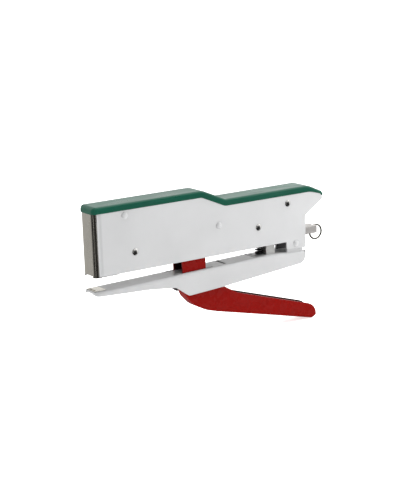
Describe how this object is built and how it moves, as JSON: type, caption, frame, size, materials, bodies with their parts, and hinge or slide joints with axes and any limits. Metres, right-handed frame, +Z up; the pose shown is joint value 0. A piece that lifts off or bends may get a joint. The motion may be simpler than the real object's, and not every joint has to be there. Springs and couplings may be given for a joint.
{
  "type": "plier stapler",
  "caption": "Hand-held plier stapler: two side plates under a cap, plated nose, rear-loading magazine, hinged anvil arm and squeeze handle.",
  "frame": {"origin": "centre of the underside of the whole stapler's bounding box, with the handle released", "axes": "+X from the nose to the rear, +Y across the body to its right-hand side plate, +Z up from the handle to the cap"},
  "size_m": [0.1709, 0.0178, 0.0946],
  "materials": {
    "white_paint": "satin white paint on steel",
    "red_paint": "gloss red paint on steel",
    "green_plastic": "smooth moulded plastic",
    "nickel": "nickel plate with fine drawing lines",
    "plated_rivet": "polished nickel",
    "zinc_steel": "zinc-plated pressed steel",
    "hard_steel": "hardened and ground steel",
    "spring_steel": "oiled spring wire"
  },
  "bodies": {
    "body": {"side_plate_left": "white_paint", "side_plate_right": "white_paint", "top_cap": "green_plastic", "nose_shell": "nickel", "nose_guide": "zinc_steel", "magazine_tube": "nickel", "magazine_brackets": "zinc_steel", "painted_rivets": "white_paint", "plated_rivets": "plated_rivet", "rivet_sleeves": "zinc_steel", "lever_pivot_pin": "plated_rivet", "hinge_pin": "white_paint"},
    "arm": {"anvil_arm": "white_paint", "anvil_plate": "nickel", "anvil_rivets": "nickel", "handle_pivot_pin": "white_paint", "pivot_washers": "zinc_steel", "spring_bracket": "nickel", "return_spring": "spring_steel"},
    "handle": {"handle": "red_paint", "drive_pin": "hard_steel"},
    "driver_lever": {"driver_lever": "hard_steel", "lever_spring": "spring_steel"},
    "driver": {"driver_blade": "hard_steel"},
    "pusher_rod": {"pusher_rod": "nickel", "rod_plug": "nickel"},
    "follower": {"follower": "zinc_steel", "pusher_spring": "spring_steel"}
  },
  "joints": [
    {"name": "arm_close", "type": "hinge", "parent": "body", "child": "arm", "pos_m": [0.05875, 0, 0.05163], "axis": [0, 1, 0], "range_deg": [0, 3.15], "deforming": ["return_spring"]},
    {"name": "handle_squeeze", "type": "hinge", "parent": "arm", "child": "handle", "pos_m": [-0.01535, 0, 0.03913], "axis": [0, -1, 0], "range_deg": [0, 21], "stiffness_Nm_per_rad": 1.5, "springref_deg": -11.46},
    {"name": "driver_lever_swing", "type": "hinge", "parent": "body", "child": "driver_lever", "pos_m": [0.05305, 0, 0.07813], "axis": [0, -1, 0], "range_deg": [0, 3.43], "deforming": ["lever_spring"]},
    {"name": "driver_drop", "type": "slide", "parent": "body", "child": "driver", "axis": [0, 0, -1], "range_m": [0, 0.008]},
    {"name": "rod_pull", "type": "slide", "parent": "body", "child": "pusher_rod", "axis": [1, 0, 0], "range_m": [0, 0.15]},
    {"name": "follower_slide", "type": "slide", "parent": "pusher_rod", "child": "follower", "axis": [1, 0, 0], "range_m": [0, 0.12], "stiffness_N_per_m": 20, "springref_m": -0.05, "deforming": ["pusher_spring"]}
  ],
  "couplings": [
    {"joint": "arm_close", "follows": "handle_squeeze", "ratio": 0.15},
    {"joint": "driver_lever_swing", "follows": "handle_squeeze", "ratio": 0.16333},
    {"joint": "driver_drop", "follows": "handle_squeeze", "m_per_rad": 0.021827}
  ]
}
